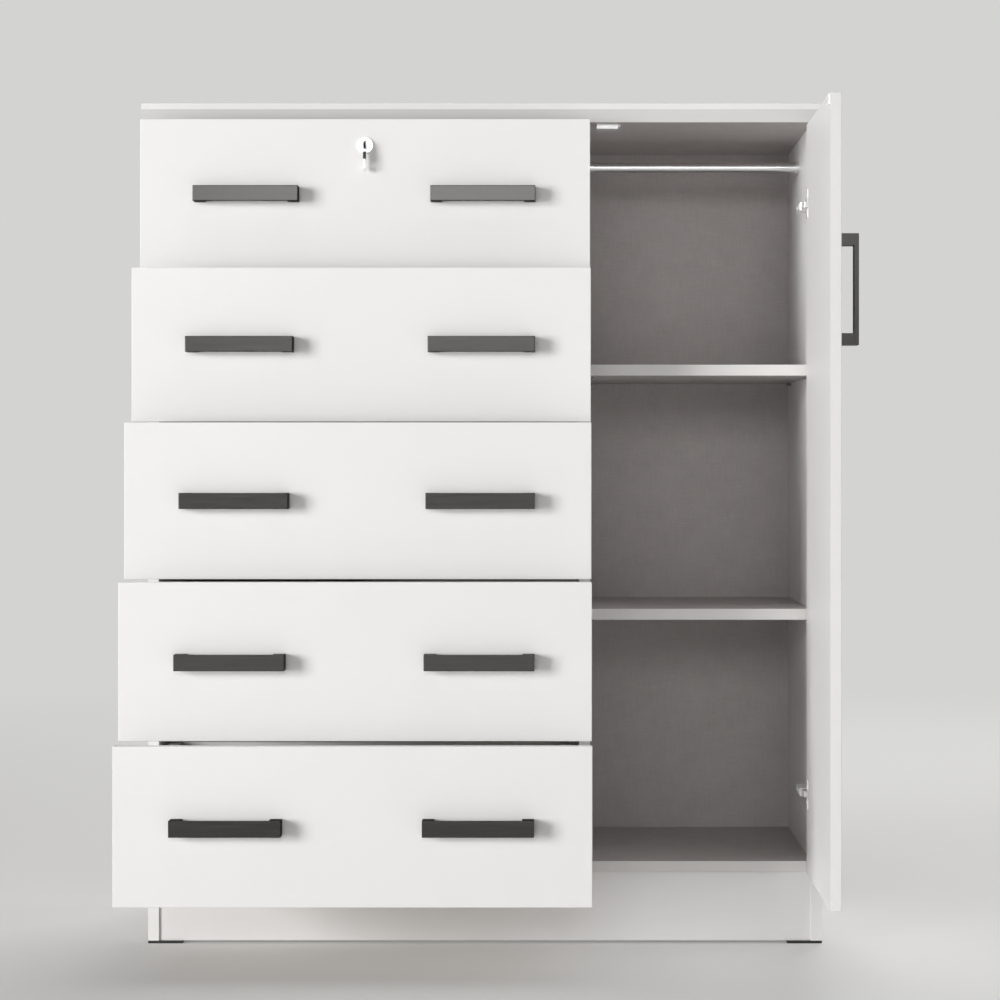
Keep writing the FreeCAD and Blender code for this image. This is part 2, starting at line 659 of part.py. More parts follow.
def hinge_cup(z):
    """A drawn cup let into the door, its screw flange, and the pin that crosses it."""
    mouth, floor = Vector(CUP_X, FRONT_INNER, z), Vector(CUP_X, FRONT_INNER - CUP_DEPTH, z)
    proud = Vector(0, FLANGE_STEEL, 0)
    inside = CUP_RADIUS - CUP_WALL
    shell = rod(CUP_RADIUS, floor, mouth)
    half_length, half_width = FLANGE_LENGTH / 2, FLANGE_WIDTH / 2
    flange = box(
        CUP_X - half_width,
        CUP_X + half_width,
        FRONT_INNER,
        FRONT_INNER + FLANGE_STEEL,
        z - half_length,
        z + half_length,
    )
    flange = rounded(flange, half_width / 2, lambda b: b.YLength > FLANGE_STEEL / 2 and b.ZLength < 1)
    hollow = rod(inside, floor + Vector(0, CUP_WALL, 0), mouth + proud)
    half_pin = math.sqrt(inside**2 - (CUP_PIN.x - CUP_X) ** 2) + CUP_WALL / 2
    pin = rod(HINGE_PIN_RADIUS, at_height(CUP_PIN, z - half_pin), at_height(CUP_PIN, z + half_pin))
    return shell.fuse(flange).removeSplitter().cut(hollow).fuse(pin).removeSplitter()


def strap(start, end, width, z):
    """A straight stretch of a link, square to the hinge's pins."""
    along = end - start
    across = Vector(-along.y, along.x, 0) * (width / 2 / along.Length)
    corners = [start + across, end + across, end - across, start - across, start + across]
    low = [at_height(p, z - LINK_HALF_HEIGHT) for p in corners]
    return Part.Face(Part.makePolygon(low)).extrude(UP * (2 * LINK_HALF_HEIGHT))


def upright(point, radius, z):
    """A round bar as tall as a link, at a point of the hinge's plan."""
    return rod(radius, at_height(point, z - LINK_HALF_HEIGHT), at_height(point, z + LINK_HALF_HEIGHT))


def hinge_link(z):
    """The bent link between the arm pin and the cup pin, as it lies with the door closed."""
    link = strap(CUP_PIN, LINK_BEND, LINK_STEEL, z)
    link = link.fuse(
        [
            strap(LINK_BEND, ARM_PIN, LINK_STEEL, z),
            upright(LINK_BEND, LINK_STEEL / 2, z),
            upright(CUP_PIN, HINGE_EYE_RADIUS, z),
            upright(ARM_PIN, HINGE_EYE_RADIUS, z),
        ]
    ).removeSplitter()
    for point in (CUP_PIN, ARM_PIN):
        link = link.cut(upright(point, HINGE_PIN_RADIUS + PIN_PLAY, z))
    return link


def hinge_arm(z):
    """A mounting plate on the side, a channel on it, and two cheeks that carry the arm pin."""
    plate_out, plate_deep, plate_high = ARM_PLATE
    plate_y = FRONT + ARM_PLATE_FROM_FRONT
    plate = box(
        WARDROBE_RIGHT - plate_out,
        WARDROBE_RIGHT,
        plate_y,
        plate_y + plate_deep,
        z - plate_high / 2,
        z + plate_high / 2,
    )
    gap = LINK_HALF_HEIGHT + RUN_GAP
    half = gap + ARM_STEEL
    crown = WARDROBE_RIGHT - ARM_PROUD
    foot = WARDROBE_RIGHT - plate_out
    back_end = ARM_PIN.y + ARM_LENGTH
    body = box(crown, foot, ARM_PIN.y, back_end, z - half, z + half)
    nose = rod(ARM_NOSE, at_height(ARM_PIN, z - half), at_height(ARM_PIN, z + half))
    clear_of_eye = ARM_PIN.y + ARM_NOSE + HINGE_EYE_RADIUS
    throat = box(crown, foot, ARM_PIN.y - ARM_NOSE, clear_of_eye, z - gap, z + gap)
    hollow = box(crown + ARM_STEEL, foot, ARM_PIN.y, back_end, z - gap, z + gap)
    arm = body.fuse(nose).removeSplitter().cut(throat).cut(hollow)
    pin = rod(HINGE_PIN_RADIUS, at_height(ARM_PIN, z - half), at_height(ARM_PIN, z + half))
    return arm.fuse([plate, pin]).removeSplitter()


def hinge_arms():
    return group(hinge_arm(z) for z in HINGE_HEIGHTS)


def hinge_links():
    return group(hinge_link(z) for z in HINGE_HEIGHTS)


def hinge_cups():
    return group(hinge_cup(z) for z in HINGE_HEIGHTS)


# ---- Rest pose ----


def with_links_turned(shape):
    """A piece on the links, turned about the arm pins as far as they turn for the open door."""
    shape.rotate(ARM_PIN, UP, -LINK_SWING)
    return shape


def with_door_open(shape):
    """A piece of the door: carried round the arm pins, and turned about the cup pins meanwhile."""
    shape.rotate(CUP_PIN, UP, LINK_SWING + DOOR_OPEN)
    return with_links_turned(shape)


def drawn_out(shape, distance):
    shape.translate(Vector(0, -distance, 0))
    return shape


def all_nodes():
    nodes = {
        "side_left": side_left(),
        "side_right": side_right(),
        "partition": partition(),
        "top_panel": top_panel(),
        "bottom_panel": bottom_panel(),
        "plinth_boards": plinth_boards(),
        "corner_glides": corner_glides(),
        "back_panel": back_panel(),
        "shelves": shelves(),
        "shelf_supports": shelf_supports(),
        "hanging_rail": hanging_rail(),
        "rail_sockets": rail_sockets(),
        "magnetic_catch": magnetic_catch(),
        "slide_outer_rails": slide_outer_rails(),
        "hinge_arms": hinge_arms(),
        "hinge_links": with_links_turned(hinge_links()),
        "door_panel": with_door_open(door_panel()),
        "door_handle": with_door_open(door_handle()),
        "hinge_cups": with_door_open(hinge_cups()),
        "catch_plate": with_door_open(catch_plate()),
    }
    makers = {
        "front": drawer_front,
        "sides": drawer_sides,
        "back": drawer_back,
        "base": base_board,
        "handles": drawer_handles,
        "inner_rails": inner_rails,
    }
    for number, out in enumerate(DRAWER_OUT, start=1):
        for piece, make in makers.items():
            nodes[f"drawer_{number}_{piece}"] = drawn_out(make(number), out)
        nodes[f"drawer_{number}_middle_rails"] = drawn_out(middle_rails(number), out / 2)
    for name, make in (
        ("lock_case", lock_case),
        ("lock_plug", lock_plug),
        ("lock_cam", lock_cam),
        ("key_blade", key_blade),
        ("key_bow", key_bow),
    ):
        nodes[name] = drawn_out(make(), DRAWER_OUT[0])
    return nodes


os.makedirs("parts", exist_ok=True)
NODES = all_nodes()
for node_name, node_shape in NODES.items():
    node_shape.exportStep(f"parts/{node_name}.step")
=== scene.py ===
import math

import bmesh
import bpy
from mathutils import Matrix, Vector

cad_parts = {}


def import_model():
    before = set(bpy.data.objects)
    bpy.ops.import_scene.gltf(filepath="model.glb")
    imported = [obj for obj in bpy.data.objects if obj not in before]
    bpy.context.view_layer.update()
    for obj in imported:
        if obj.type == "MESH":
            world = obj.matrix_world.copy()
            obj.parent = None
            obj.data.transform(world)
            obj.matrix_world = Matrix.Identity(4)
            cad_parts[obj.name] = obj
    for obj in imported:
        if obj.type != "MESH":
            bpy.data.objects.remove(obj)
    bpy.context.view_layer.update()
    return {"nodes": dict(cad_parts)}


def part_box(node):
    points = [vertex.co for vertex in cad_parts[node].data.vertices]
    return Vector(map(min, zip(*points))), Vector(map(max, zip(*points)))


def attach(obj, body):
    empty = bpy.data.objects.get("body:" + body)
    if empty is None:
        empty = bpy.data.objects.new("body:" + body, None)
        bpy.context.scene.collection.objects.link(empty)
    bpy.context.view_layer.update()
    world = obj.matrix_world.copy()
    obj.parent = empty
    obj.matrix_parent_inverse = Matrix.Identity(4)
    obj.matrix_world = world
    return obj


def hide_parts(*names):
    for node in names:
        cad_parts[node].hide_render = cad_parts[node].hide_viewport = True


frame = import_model()
nodes = frame["nodes"]
MM = 0.001
DRAWERS = range(1, 6)

# ---- White boards: sides, partition, plinth, drawer fronts and boxes, door ----
# 15 and 16 mm chipboard faced with white melamine paper, pressed hot against a plate whose fine
# pebble it keeps. The eye sees an even satin white with soft, slightly broken highlights.

# The real pebble is about 0.5 mm across. That is too fine to show, so it is drawn at 2.5 mm.
PEBBLE = 2.5 * MM
PAPER_CLOUD = 260 * MM
PAPER_DARK, PAPER_LIGHT = "#EBEAE9", "#F1F0EF"
MELAMINE_IOR = 1.5


def linear(hex_colour):
    """The linear colour of an sRGB hex value, with alpha."""
    parts = [int(hex_colour[i : i + 2], 16) / 255 for i in (1, 3, 5)]
    return tuple(c / 12.92 if c <= 0.04045 else ((c + 0.055) / 1.055) ** 2.4 for c in parts) + (1.0,)


def add_node(owner, kind, given):
    """Adds a shader node with its settings and links.

    A given (node, output) pair is linked to its input, and so is the first output of a node given
    alone. Anything else is set.
    """
    node = owner.node_tree.nodes.new("ShaderNode" + kind)
    for key, value in given.items():
        source, output = value if isinstance(value, tuple) and len(value) == 2 else (value, 0)
        if isinstance(key, str) and key not in node.inputs:
            setattr(node, key, value)
        elif isinstance(source, bpy.types.Node):
            owner.node_tree.links.new(source.outputs[output], node.inputs[key])
        else:
            node.inputs[key].default_value = value
    return node


def start_material(name):
    """An empty material and its object coordinates."""
    material = bpy.data.materials.new(name)
    material.use_nodes = True
    material.node_tree.nodes.clear()
    return material, (add_node(material, "TexCoord", {}), "Object")


def finish_material(material, surface):
    """Closes a material with its principled shader."""
    shader = add_node(material, "BsdfPrincipled", surface)
    add_node(material, "OutputMaterial", {"Surface": shader})
    return material


def white_paper(material, place):
    """Colour and relief of white melamine paper."""
    cloud = add_node(material, "TexNoise", {"Vector": place, "Scale": 1 / PAPER_CLOUD, "Detail": 2.0})
    # A Mix node of colours takes them at 6 and 7 and gives the blend at 2.
    tones = {6: linear(PAPER_DARK), 7: linear(PAPER_LIGHT)}
    tone = add_node(material, "Mix", {"data_type": "RGBA", 0: cloud, **tones}), 2
    pebble = add_node(material, "TexNoise", {"Vector": place, "Scale": 1 / PEBBLE, "Detail": 3.0})
    relief = add_node(material, "Bump", {"Height": pebble, "Strength": 0.06, "Distance": 0.2 * MM})
    return tone, relief


def one_faced(name, paper, roughness):
    """A material with the same paper all over."""
    material, place = start_material(name)
    tone, relief = paper(material, place)
    surface = {"Base Color": tone, "Normal": relief, "Roughness": roughness, "IOR": MELAMINE_IOR}
    return finish_material(material, surface)


def dress(names, material):
    """Gives CAD nodes a material."""
    for name in names:
        nodes[name].data.materials.clear()
        nodes[name].data.materials.append(material)


WHITE_MELAMINE = one_faced("white_melamine", white_paper, 0.46)
dress(["side_left", "side_right", "partition", "plinth_boards", "door_panel"], WHITE_MELAMINE)
for number in DRAWERS:
    dress([f"drawer_{number}_{part}" for part in ("front", "sides", "back")], WHITE_MELAMINE)

# ---- Lined boards: bottom and shelves ----
# Chipboard whose melamine paper is printed with a grey linen pattern: fine streaky threads under
# a cloudy tone. It is dull, and a good deal darker than the white boards round it.

THREAD = 2.4 * MM  # printed threads are 0.8 mm wide, drawn three times as coarse so that they show
THREAD_RUN = 14.0  # thread widths that a streak runs on for
LINEN_CLOUD = 38 * MM
CLOUD_SHARE = 0.62  # of the tone; the threads give the rest
LINEN_DARK, LINEN_LIGHT = "#B1ABA9", "#CCC6C4"


def drawn_streaks(material, place, size, detail):
    """Streaks of a given size along the object's axes."""
    stretch = [1 / length for length in size]
    drawn = add_node(material, "Mapping", {"Vector": place, "Scale": stretch})
    return add_node(material, "TexNoise", {"Vector": drawn, "Scale": 1.0, "Detail": detail})


def linen_paper(material, place):
    """Colour and relief of melamine paper with a linen print."""
    streaks = []
    for axis in range(3):
        size = [THREAD] * 3
        size[axis] *= THREAD_RUN
        streaks.append(drawn_streaks(material, place, size, 1.0))
    crossed = streaks[0]
    for more in streaks[1:]:
        crossed = add_node(material, "Math", {"operation": "ADD", 0: crossed, 1: more})
    weave = add_node(material, "MapRange", {"Value": crossed, "From Min": 1.1, "From Max": 1.9})
    clouding = {"Scale": 1 / LINEN_CLOUD, "Detail": 4.0, "Roughness": 0.6}
    cloud = add_node(material, "TexNoise", {"Vector": place, **clouding})
    shade = add_node(material, "Mix", {"data_type": "FLOAT", 0: CLOUD_SHARE, 2: weave, 3: cloud})
    tones = {6: linear(LINEN_DARK), 7: linear(LINEN_LIGHT)}
    tone = add_node(material, "Mix", {"data_type": "RGBA", 0: shade, **tones}), 2
    relief = add_node(material, "Bump", {"Height": weave, "Strength": 0.1, "Distance": 0.1 * MM})
    return tone, relief


dress(["bottom_panel", "shelves"], one_faced("linen_melamine", linen_paper, 0.6))

# ---- Top panel ----
# Thick chipboard, white above and on its square upper edge. The bevel under that is painted a shade
# greyer. This is painted shade: the bevel faces down and out of the light. The underside, the ceiling
# of the wardrobe, has the shelves' linen print, and its grey there is partly painted shade as well.

TOP_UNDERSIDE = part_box("top_panel")[0].z
TOP_BEVEL = 18.6 * MM  # height of the bevel
TOP_LINING = 0.1 * MM  # how far up the linen print shows
# painted shade: the bevel faces down, so it is drawn darker than the white above it
BEVEL_PAINTED_SHADE = "#D6D5D3"


def above(material, place, axis, level):
    """1 past a level along an object axis, otherwise 0."""
    apart = add_node(material, "SeparateXYZ", {"Vector": place})
    return add_node(material, "Math", {"operation": "GREATER_THAN", 0: (apart, axis), 1: level})


def two_faced(name, under, over, axis, level):
    """A material that changes at a level along an object axis, from one paper to another."""
    material, place = start_material(name)
    side = above(material, place, axis, level)
    (under_tone, under_relief), (over_tone, over_relief) = under(material, place), over(material, place)
    tone = add_node(material, "Mix", {"data_type": "RGBA", 0: side, 6: under_tone, 7: over_tone}), 2
    reliefs = {4: under_relief, 5: over_relief}
    relief = add_node(material, "Mix", {"data_type": "VECTOR", 0: side, **reliefs}), 1
    surface = {"Base Color": tone, "Normal": relief, "Roughness": 0.5, "IOR": MELAMINE_IOR}
    return finish_material(material, surface)


def top_paper(material, place):
    """White paper, with painted shade on the bevel below its square edge."""
    white, relief = white_paper(material, place)
    square = above(material, place, "Z", TOP_UNDERSIDE + TOP_BEVEL)
    tones = {6: linear(BEVEL_PAINTED_SHADE), 7: white}
    return (add_node(material, "Mix", {"data_type": "RGBA", 0: square, **tones}), 2), relief


# The grey linen on the underside is partly painted shade for the ceiling, which lies in the top's shadow.
dress(["top_panel"], two_faced("lined_top_painted_shade", linen_paper, top_paper, "Z", TOP_UNDERSIDE + TOP_LINING))

# ---- Drawer bases ----
# 3 mm fibreboard slid into the grooves of the drawer boxes: linen paper above, and below the bare
# brown board, pressed from wood fibre and slightly fuzzy.

FIBRE = 4 * MM  # clumps of fibre, drawn at about twice their size
FIBRE_DARK, FIBRE_LIGHT = "#8A6A4A", "#B39370"
LINING = 0.2 * MM  # how far the linen print shows at the board's edge


def bare_fibre(material, place):
    """Colour and relief of bare fibreboard."""
    clumps = add_node(material, "TexNoise", {"Vector": place, "Scale": 1 / FIBRE, "Detail": 6.0})
    tones = {6: linear(FIBRE_DARK), 7: linear(FIBRE_LIGHT)}
    tone = add_node(material, "Mix", {"data_type": "RGBA", 0: clumps, **tones}), 2
    relief = add_node(material, "Bump", {"Height": clumps, "Strength": 0.3, "Distance": 0.2 * MM})
    return tone, relief


for number in DRAWERS:
    lined_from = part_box(f"drawer_{number}_base")[1].z - LINING
    base_paper = two_faced(f"lined_base_{number}", bare_fibre, linen_paper, "Z", lined_from)
    dress([f"drawer_{number}_base"], base_paper)

# ---- Back panel ----
# 3 mm fibreboard with linen paper towards the inside, nailed over the rear edges of the boards
# with flat-headed wire nails. The heads sit a hair above the bare brown face.

NAIL_PITCH = 110 * MM
NAIL_HEAD = 2.2 * MM
NAIL_PROUD = 0.3 * MM
NAIL_CLEAR = 0.1 * MM  # from the heads to the rear end of the whole part
NAIL_SCUFF = 1.25 * MM  # marks are 0.3 mm across, drawn coarser so that they show
THIN_BOARD_CHAMFER = 0.2 * MM


def to_mesh(name, shape):
    """The mesh of a finished bmesh."""
    mesh = bpy.data.meshes.new(name)
    shape.to_mesh(mesh)
    shape.free()
    return mesh


def piece(name, shape, material, body):
    """Makes a finished piece of a bmesh: named, with its material and slot, riding on its body."""
    bmesh.ops.recalc_face_normals(shape, faces=shape.faces)
    mesh = to_mesh(name, shape)
    mesh.materials.append(material)
    made = bpy.data.objects.new(name, mesh)
    bpy.context.scene.collection.objects.link(made)
    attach(made, body)
    return made


def middle_of(name):
    """The middle of a CAD node's box."""
    low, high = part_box(name)
    return (low + high) / 2


def touching(vertices, kind):
    """The edges or faces that meet at any of the vertices, each once and always in one order."""
    return list(dict.fromkeys(item for vertex in vertices for item in getattr(vertex, kind)))


def add_block(shape, low, high, chamfer):
    """Adds a block between two corners, with its edges chamfered."""
    low, high = Vector(low), Vector(high)
    place = Matrix.Translation((low + high) / 2) @ Matrix.Diagonal((*(high - low), 1.0))
    made = bmesh.ops.create_cube(shape, size=1.0, matrix=place)["verts"]
    edges = touching(made, "link_edges")
    bmesh.ops.bevel(
        shape, geom=edges, offset=chamfer, segments=1, profile=0.5, affect="EDGES", material=-1
    )


def stamp(shape, pattern, at, out, size):
    """Adds a copy of a small pattern at a point, its +Z turned outwards and its unit size scaled."""
    first = len(shape.verts)
    shape.from_mesh(pattern)
    shape.verts.ensure_lookup_table()
    turn = Vector(out).to_track_quat("Z", "Y").to_matrix().to_4x4()
    place = Matrix.Translation(at) @ turn @ Matrix.Diagonal((*size, 1.0))
    bmesh.ops.transform(shape, matrix=place, verts=shape.verts[first:])


def only_vertices(made):
    return [item for item in made if isinstance(item, bmesh.types.BMVert)]


def add_rim(shape, drop):
    """Extrudes the open edge of a dome downwards and lifts the dome until the rim stands on z = 0."""
    border = [edge for edge in shape.edges if edge.is_boundary]
    rim = only_vertices(bmesh.ops.extrude_edge_only(shape, edges=border)["geom"])
    bmesh.ops.translate(shape, verts=rim, vec=(0, 0, -drop))
    bmesh.ops.translate(shape, verts=shape.verts, vec=(0, 0, drop))


def nail_pattern():
    """A unit nail head: a low dome with a short rim."""
    shape = bmesh.new()
    bmesh.ops.create_circle(shape, cap_ends=True, segments=12, radius=1.0)
    bmesh.ops.inset_region(shape, faces=shape.faces[:], thickness=0.3, depth=0.3)
    add_rim(shape, 0.7)
    return to_mesh("nail", shape)


def back_board():
    """The board in the place of the CAD one, thinner by the nail heads; gives the face they sit on."""
    low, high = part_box("back_panel")
    face = high.y - NAIL_PROUD - NAIL_CLEAR
    shape = bmesh.new()
    add_block(shape, low, (high.x, face, high.z), THIN_BOARD_CHAMFER)
    paper = two_faced("lined_back", linen_paper, bare_fibre, "Y", low.y + LINING)
    board = piece("back_board", shape, paper, "carcass")
    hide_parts("back_panel")
    return face


def nail_rows():
    """Where the nails go: along both sides and the partition, and along the bottom panel."""
    columns = [middle_of(name).x for name in ("side_left", "partition", "side_right")]
    bottom = middle_of("bottom_panel").z
    rows = int((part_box("back_panel")[1].z - bottom) / NAIL_PITCH)
    upright = [(x, bottom + row * NAIL_PITCH) for x in columns for row in range(rows + 1)]
    steps = int((columns[2] - columns[0]) / NAIL_PITCH)
    step = (columns[2] - columns[0]) / steps
    lying = [(columns[0] + n * step, bottom) for n in range(1, steps)]
    return upright + [spot for spot in lying if abs(spot[0] - columns[1]) > step / 2]


def wire_steel():
    """Plain drawn wire: grey steel, dulled by the hammer."""
    material, place = start_material("bright_wire_steel")
    scuff = add_node(material, "TexNoise", {"Vector": place, "Scale": 1 / NAIL_SCUFF, "Detail": 2.0})
    rough = add_node(material, "MapRange", {"Value": scuff, "To Min": 0.3, "To Max": 0.5})
    surface = {"Base Color": linear("#B5B5B3"), "Metallic": 1.0, "Roughness": rough}
    return finish_material(material, surface)


def back_nails(face):
    nail, shape = nail_pattern(), bmesh.new()
    for x, z in nail_rows():
        stamp(shape, nail, (x, face, z), (0, 1, 0), (NAIL_HEAD, NAIL_HEAD, NAIL_PROUD))
    piece("back_nails", shape, wire_steel(), "carcass")


back_nails(back_board())

# ---- Edge bands ----
# The front edges of the carcass boards and shelves are closed with 0.4 mm ABS tape, ironed on with
# hot glue and trimmed flush, which leaves a hairline of a chamfer. The tape is white on the upright
# boards. On the shelves and bottom it is painted a shade greyer: painted shade for the less light
# that reaches those edges under the drawers' shadow.

BAND = 0.4 * MM
BAND_CHAMFER = 0.15 * MM
BAND_SETBACK = 0.1 * MM
BOARD = 16 * MM


def plastic(name, colour, grain, strength, depth, surface):
    """Plastic of one colour with a fine grain: its size, then the strength and depth of its relief."""
    material, place = start_material(name)
    grains = add_node(material, "TexNoise", {"Vector": place, "Scale": 1 / grain, "Detail": 2.0})
    relief = add_node(material, "Bump", {"Height": grains, "Strength": strength, "Distance": depth})
    return finish_material(material, {"Base Color": linear(colour), "Normal": relief, **surface})


def abs_tape(name, colour):
    return plastic(name, colour, PEBBLE, 0.04, 0.2 * MM, {"Roughness": 0.5})


def add_band(shape, low, high):
    """Tape over the front face of a board whose box is given."""
    start = (low.x + BAND_SETBACK, low.y - BAND, low.z + BAND_SETBACK)
    end = (high.x - BAND_SETBACK, low.y, high.z - BAND_SETBACK)
    add_block(shape, start, end, BAND_CHAMFER)


def edge_bands():
    shape = bmesh.new()
    for name in ("side_left", "side_right", "partition"):
        add_band(shape, *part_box(name))
    piece("upright_bands", shape, abs_tape("white_tape", "#F4F3F1"), "carcass")

    shape, (low, high) = bmesh.new(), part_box("shelves")
    add_band(shape, low, Vector((high.x, high.y, low.z + BOARD)))
    add_band(shape, Vector((low.x, low.y, high.z - BOARD)), high)
    add_band(shape, *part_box("bottom_panel"))
    # The greyer tape is painted shade on the lower, shadowed edges.
    piece("shelf_bands", shape, abs_tape("shelf_tape_painted_shade", "#DFDDDB"), "carcass")


edge_bands()

# ---- Glides ----
# Injection-moulded black polypropylene pads under the corners. They keep the boards off a damp
# floor. Black with a dull, finely eroded surface.

ERODED_GRAIN = 1.11 * MM  # 0.1 mm in the mould, drawn coarser so that it shows
BLACK_PLASTIC = plastic(
    "black_polypropylene", "#1B1B1B", ERODED_GRAIN, 0.15, 0.1 * MM, {"Roughness": 0.48, "IOR": 1.49}
)
dress(["corner_glides"], BLACK_PLASTIC)

# ---- Shelf supports and magnetic catch ----
# Both are moulded in nylon. The supports, which plug into the boards, are painted grey: painted
# shade, so that they sink into the shadow under the shelves. The white, glossy catch is screwed up
# under the top through its ear, and shows the two steel pole pieces of its magnet at the front.

POLE_LENGTH, POLE_STEEL = 24 * MM, 1.1 * MM
POLE_RISES = (2.2 * MM, 4.8 * MM)  # from the catch's lower face to the poles' middles
POLE_PROUD, POLE_LET_IN, POLE_CHAMFER = 0.25 * MM, 1.0 * MM, 0.1 * MM
CATCH_EAR = (4 * MM, 3 * MM)  # along the catch, and down from the top
CATCH_SCREW_HEAD = (1.7 * MM, 0.9 * MM)  # radius and rise, as for all the heads below
# The nylon's flow ripples, and the spangles of zinc, 0.2 mm across and drawn coarser to show
NYLON_RIPPLE, ZINC_SPANGLE = 1.43 * MM, 0.833 * MM


def nylon(name, colour):
    return plastic(name, colour, NYLON_RIPPLE, 0.05, 0.1 * MM, {"Roughness": 0.15, "IOR": 1.53})


def zinc_plate():
    """Zinc plating with a clear chromate: pale grey metal with faint spangles."""
    material, place = start_material("zinc_plate")
    spangle = add_node(material, "TexVoronoi", {"Vector": place, "Scale": 1 / ZINC_SPANGLE})
    rough = add_node(material, "MapRange", {"Value": spangle, "To Min": 0.26, "To Max": 0.42})
    surface = {"Base Color": linear("#D4D5D6"), "Metallic": 1.0, "Roughness": rough}
    return finish_material(material, surface)


def screw_pattern():
    """A unit screw head: a low dome on a short rim, with a cross recess."""
    shape = bmesh.new()
    bmesh.ops.create_grid(shape, x_segments=5, y_segments=5, size=1.0)
    cross = []
    for face in shape.faces:
        middle = face.calc_center_median()
        if min(abs(middle.x), abs(middle.y)) < 0.1 and middle.length < 0.5:
            cross.append(face)
    bmesh.ops.inset_region(shape, faces=cross, thickness=0.05, depth=-0.55)
    for vertex in shape.verts:
        x, y, z = vertex.co
        round_x, round_y = x * math.sqrt(1 - y * y / 2), y * math.sqrt(1 - x * x / 2)
        vertex.co = (round_x, round_y, z + 0.4 * (1 - round_x**2 - round_y**2))
    add_rim(shape, 0.6)
    return to_mesh("cross_head", shape)


def screws(name, body, spots, out, head):
    """Screw heads at the given points, all facing one way, as one piece."""
    radius, rise = head
    shape = bmesh.new()
    for spot in spots:
        stamp(shape, CROSS_HEAD, spot, out, (radius, radius, rise))
    piece(name, shape, ZINC_PLATE, body)


WHITE_NYLON = nylon("white_nylon", "#FDFDFC")
ZINC_PLATE, CROSS_HEAD = zinc_plate(), screw_pattern()
dress(["magnetic_catch"], WHITE_NYLON)
# The supports' grey is painted shade, matching the shadow under the shelves.
dress(["shelf_supports"], nylon("nylon_painted_shade", "#82807E"))


def catch_poles():
    low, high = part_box("magnetic_catch")
    housing_end = high.x - CATCH_EAR[0]
    middle = (low.x + housing_end) / 2
    shape = bmesh.new()
    for rise in POLE_RISES:
        start = (middle - POLE_LENGTH / 2, low.y - POLE_PROUD, low.z + rise - POLE_STEEL / 2)
        end = (middle + POLE_LENGTH / 2, low.y + POLE_LET_IN, low.z + rise + POLE_STEEL / 2)
        add_block(shape, start, end, POLE_CHAMFER)
    piece("catch_poles", shape, ZINC_PLATE, "carcass")
    ear = (housing_end + CATCH_EAR[0] / 2, (low.y + high.y) / 2, high.z - CATCH_EAR[1])
    screws("catch_screw", "carcass", [ear], (0, 0, -1), CATCH_SCREW_HEAD)


catch_poles()

# ---- Cover caps ----
# Press-in nylon caps over the screws that hold the bottom panel and the plinth to the sides. The
# screws of the door's pull are hidden by flat discs of the door's own paper.

CAP_RADIUS, CAP_PROUD, DOOR_CAP_PROUD = 6.5 * MM, 1.3 * MM, 0.3 * MM
CAP_INSETS = {"bottom_panel": 50 * MM, "plinth_boards": 8 * MM}  # from the front and rear ends
DOOR_CAP_INSET = 8 * MM  # from the ends of the pull


def cap_pattern():
    """A unit cap: a disc with a rounded rim and a shallow dished middle."""
    shape = bmesh.new()
    bmesh.ops.create_cone(shape, cap_ends=True, segments=32, radius1=1.0, radius2=1.0, depth=1.0)
    bmesh.ops.translate(shape, verts=shape.verts, vec=(0, 0, 0.5))
    brim = [edge for edge in shape.edges if min(vertex.co.z for vertex in edge.verts) > 0.9]
    bmesh.ops.bevel(shape, geom=brim, offset=0.3, segments=3, profile=0.5, affect="EDGES", material=-1)
    crown = [face for face in shape.faces if face.normal.z > 0.99 and face.calc_center_median().z > 0.9]
    bmesh.ops.inset_region(shape, faces=crown, thickness=0.35, depth=-0.1)
    return to_mesh("cap", shape)


def cover_caps():
    cap, shape = cap_pattern(), bmesh.new()
    size = (CAP_RADIUS, CAP_RADIUS, CAP_PROUD)
    left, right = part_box("side_left")[0].x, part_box("side_right")[1].x
    for name, inset in CAP_INSETS.items():
        low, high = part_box(name)
        for y in (low.y + inset, high.y - inset):
            stamp(shape, cap, (left, y, (low.z + high.z) / 2), (-1, 0, 0), size)
            stamp(shape, cap, (right, y, (low.z + high.z) / 2), (1, 0, 0), size)
    piece("side_caps", shape, WHITE_NYLON, "carcass")

    shape, (low, high) = bmesh.new(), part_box("door_handle")
    inner_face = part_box("door_panel")[0].x
    for z in (low.z + DOOR_CAP_INSET, high.z - DOOR_CAP_INSET):
        place = (inner_face, (low.y + high.y) / 2, z)
        stamp(shape, cap, place, (-1, 0, 0), (CAP_RADIUS, CAP_RADIUS, DOOR_CAP_PROUD))
    piece("door_caps", shape, WHITE_MELAMINE, "door")


cover_caps()

# ---- Hanging rail and lock ----
# Welded steel tube, polished and chromed, bright and cool with a soft highlight along it. It hangs
# in two slim chromed sockets screwed to the boards. The lock is cast zinc under a duller chrome.

CHROME_HAZE = 50 * MM


def chrome(name, smoothest, dullest):
    """Chrome plating whose faint haze varies between two roughnesses."""
    material, place = start_material(name)
    haze = add_node(material, "TexNoise", {"Vector": place, "Scale": 1 / CHROME_HAZE, "Detail": 2.0})
    roughest = {"From Min": 0.3, "From Max": 0.7, "To Min": smoothest, "To Max": dullest}
    rough = add_node(material, "MapRange", {"Value": haze, **roughest})
    surface = {"Base Color": linear("#EDEEEF"), "Metallic": 1.0, "Roughness": rough}
    return finish_material(material, surface)


BRIGHT_CHROME = chrome("bright_chrome", 0.18, 0.21)
dress(["hanging_rail", "rail_sockets"], BRIGHT_CHROME)
dress(["lock_case", "lock_plug"], chrome("dull_chrome", 0.36, 0.4))

# ---- Runners ----
# Three nested channels of cold-rolled strip a side, blackened over zinc. The inner channel is
# screwed to the drawer box and carries a black release lever.

